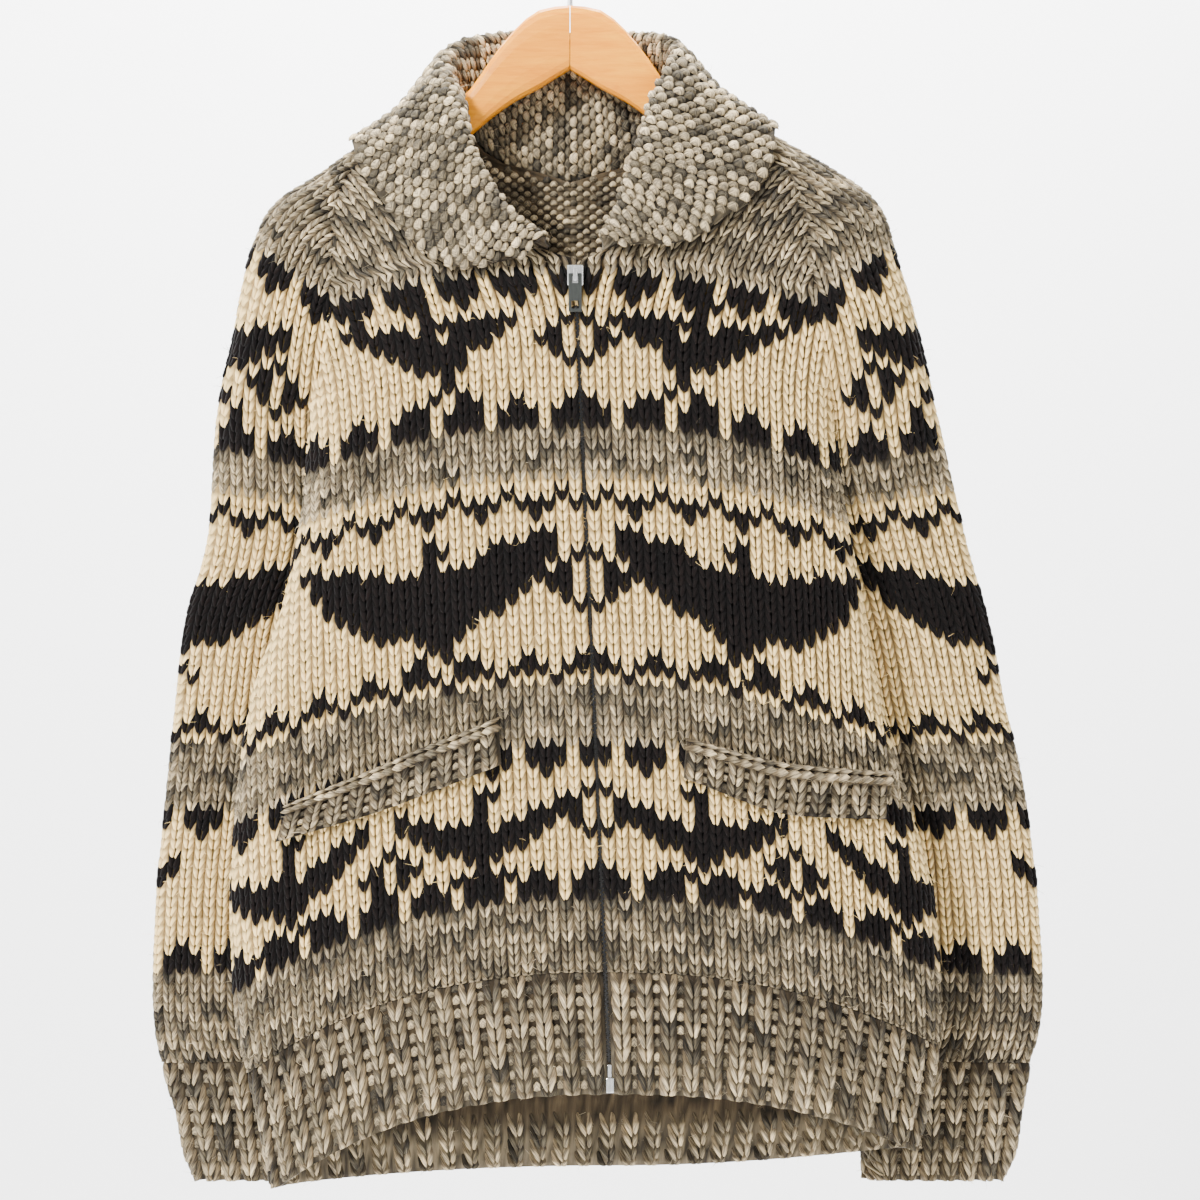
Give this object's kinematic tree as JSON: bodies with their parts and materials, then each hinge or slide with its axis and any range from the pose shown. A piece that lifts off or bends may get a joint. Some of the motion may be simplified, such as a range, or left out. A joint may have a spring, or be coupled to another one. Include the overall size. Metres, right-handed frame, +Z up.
{
  "type": "cowichan sweater",
  "caption": "Bulky hand-knit cardigan with shawl collar, open-ended zip and pocket bands, dark bird and diamond bands on cream and grey, on a plain wooden hanger.",
  "frame": {"origin": "inside top of the hanger's hook, where a rail bears", "axes": "+Z up, the front faces -Y, +X is the viewer's right from the front"},
  "size_m": [0.6271, 0.13, 0.8738],
  "materials": {
    "grey_wool": "marled bulky two-ply wool",
    "cream_wool": "bulky two-ply wool with dark brown knitted bands",
    "varnished_wood": "varnished",
    "chrome": "polished",
    "dark_tape": "woven",
    "dark_metal": "smooth"
  },
  "bodies": {
    "garment": {"front_left": "cream_wool", "front_right": "cream_wool", "back": "cream_wool", "sleeve_left": "cream_wool", "sleeve_right": "cream_wool", "cuff_left": "grey_wool", "cuff_right": "grey_wool", "hem_front_left": "grey_wool", "hem_front_right": "grey_wool", "hem_back": "grey_wool", "collar": "grey_wool", "pocket_band_left": "grey_wool", "pocket_band_right": "grey_wool", "zip_tape_left": "dark_tape", "zip_tape_right": "dark_tape", "zip_slider": "chrome", "zip_box": "chrome", "zip_pin": "chrome", "hanger_wood_left": "varnished_wood", "hanger_wood_right": "varnished_wood", "hanger_hook": "chrome"},
    "pull_tab": {"zip_pull": "dark_metal"}
  },
  "joints": [
    {"name": "pull_swing", "type": "hinge", "parent": "garment", "child": "pull_tab", "pos_m": [0.00393, -0.05116, -0.242], "axis": [-1, 0, 0], "range_deg": [0, 165]}
  ]
}
